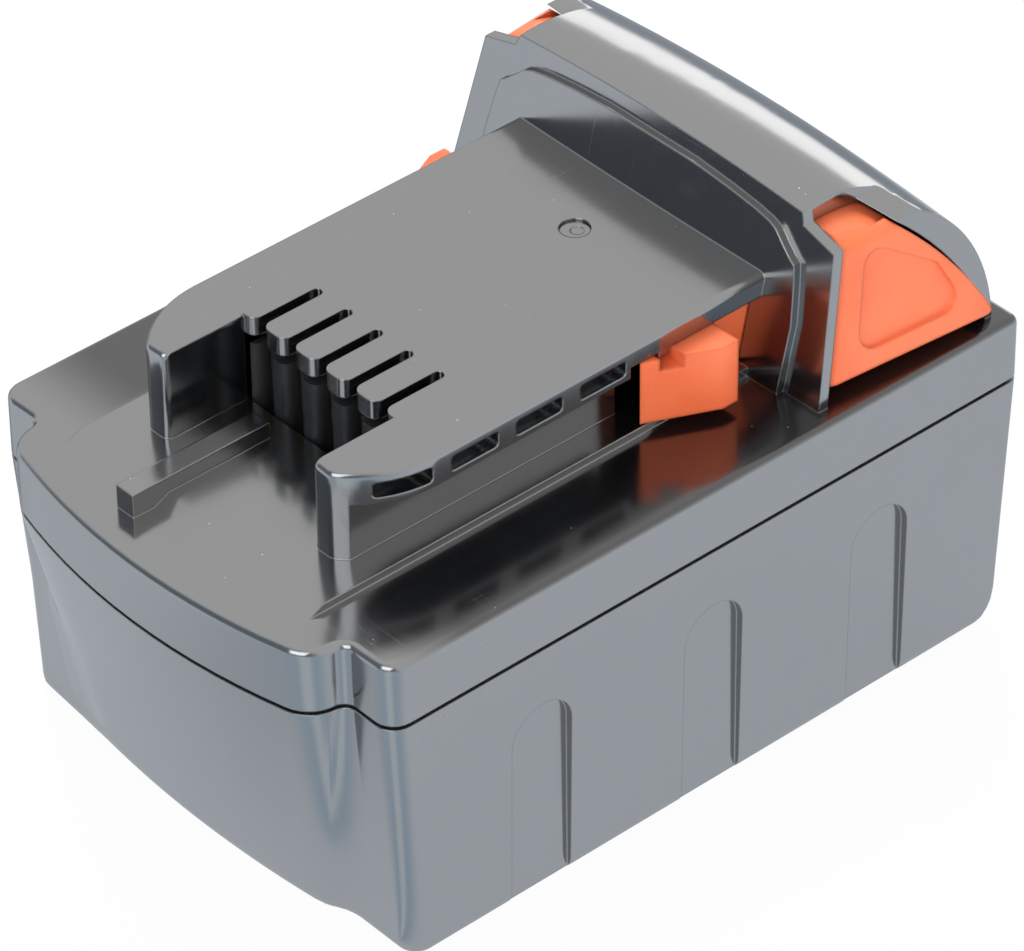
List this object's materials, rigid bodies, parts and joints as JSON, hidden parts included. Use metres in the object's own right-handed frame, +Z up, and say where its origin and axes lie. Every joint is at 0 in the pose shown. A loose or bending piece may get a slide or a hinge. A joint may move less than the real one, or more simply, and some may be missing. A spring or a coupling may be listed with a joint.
{
  "type": "power tool battery pack",
  "caption": "Black cased battery pack for cordless tools, with a slide-on rail, terminal slots and spring-loaded side release latches.",
  "frame": {"origin": "middle of the base under the overall box", "axes": "+Z up, +Y from the open end of the rail towards the head with the release buttons, +X to the right of that"},
  "size_m": [0.08, 0.1224, 0.0784],
  "materials": {
    "case_black": "moulded black plastic with a satin shine",
    "latch_red": "moulded orange-red plastic",
    "block_black": "grained black plastic",
    "spring_steel": "bright spring wire",
    "board_green": "green coated board",
    "chip_black": "black epoxy",
    "inner_plastic": "dark grey plastic",
    "screw_steel": "plated steel",
    "sheet_paper": "pale insulating paper",
    "button_grey": "dark grey plastic",
    "ribbon_film": "amber film",
    "contact_copper": "plated copper alloy",
    "cell_wrap": "shrink sleeve",
    "nickel": "nickel strip",
    "lens_red": "clear red plastic"
  },
  "bodies": {
    "pack": {"lower_case": "case_black", "upper_cover": "case_black", "right_latch_spring": "spring_steel", "left_latch_spring": "spring_steel", "terminal_block": "block_black", "circuit_board": "board_green", "power_switches": "chip_black", "control_chip": "chip_black", "board_tray": "inner_plastic", "board_screws": "screw_steel", "cell_holder_right": "inner_plastic", "cell_holder_left": "inner_plastic", "insulator_right": "sheet_paper", "insulator_left": "sheet_paper", "case_screws": "screw_steel", "cover_screw": "screw_steel", "screw_plug": "case_black", "gauge_board": "board_green", "gauge_switch": "chip_black", "gauge_ribbon": "ribbon_film", "terminal_contact_1": "contact_copper", "terminal_contact_2": "contact_copper", "terminal_contact_3": "contact_copper", "terminal_contact_4": "contact_copper", "terminal_contact_5": "contact_copper", "cell_1": "cell_wrap", "cell_2": "cell_wrap", "cell_3": "cell_wrap", "cell_4": "cell_wrap", "cell_5": "cell_wrap", "cell_6": "cell_wrap", "cell_7": "cell_wrap", "cell_8": "cell_wrap", "cell_9": "cell_wrap", "cell_10": "cell_wrap", "cell_link_right_1": "nickel", "cell_link_right_2": "nickel", "cell_link_right_3": "nickel", "cell_link_left_1": "nickel", "cell_link_left_2": "nickel", "cell_link_left_3": "nickel", "gauge_lens_1": "lens_red", "gauge_lens_2": "lens_red", "gauge_lens_3": "lens_red", "gauge_lens_4": "lens_red"},
    "right_latch": {"right_latch": "latch_red"},
    "left_latch": {"left_latch": "latch_red"},
    "gauge_button": {"gauge_button": "button_grey"}
  },
  "joints": [
    {"name": "right_latch_slide", "type": "slide", "parent": "pack", "child": "right_latch", "axis": [-1, 0, 0], "range_m": [0, 0.0045], "stiffness_N_per_m": 600, "springref_m": -0.004, "deforming": ["right_latch_spring"]},
    {"name": "left_latch_slide", "type": "slide", "parent": "pack", "child": "left_latch", "axis": [1, 0, 0], "range_m": [0, 0.0045], "stiffness_N_per_m": 600, "springref_m": -0.004, "deforming": ["left_latch_spring"]},
    {"name": "gauge_button_press", "type": "slide", "parent": "pack", "child": "gauge_button", "axis": [0, -0.9063, -0.4226], "range_m": [0, 0.0008], "stiffness_N_per_m": 900, "springref_m": -0.0005}
  ]
}
